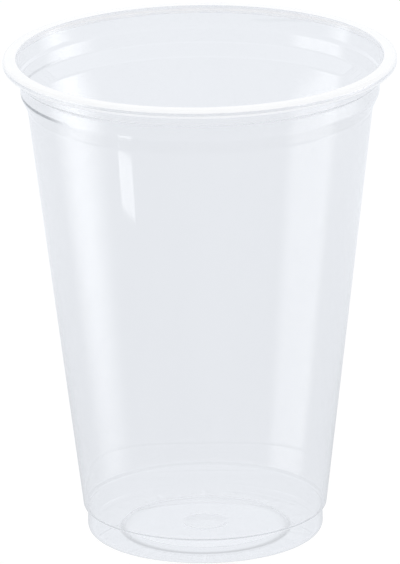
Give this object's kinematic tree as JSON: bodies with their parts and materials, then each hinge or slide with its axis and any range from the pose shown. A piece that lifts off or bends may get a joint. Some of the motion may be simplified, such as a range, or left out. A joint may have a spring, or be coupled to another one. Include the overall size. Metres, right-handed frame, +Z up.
{
  "type": "plastic disposable cup",
  "caption": "Clear thin-walled tapered drinking cup with a rolled lip that takes a snap lid, a stacking shoulder under it, a stepped foot ring and a pushed-up base.",
  "frame": {"origin": "middle of the foot, on the surface that the cup stands on", "axes": "+Z up along the cup's axis, from the foot to the lip; the cup is round, so +X and +Y are any two directions square to it"},
  "size_m": [0.095, 0.095, 0.12],
  "materials": {
    "clear_plastic": "clear, glossy, with faint forming marks"
  },
  "bodies": {
    "root": {"cup": "clear_plastic"}
  },
  "joints": []
}
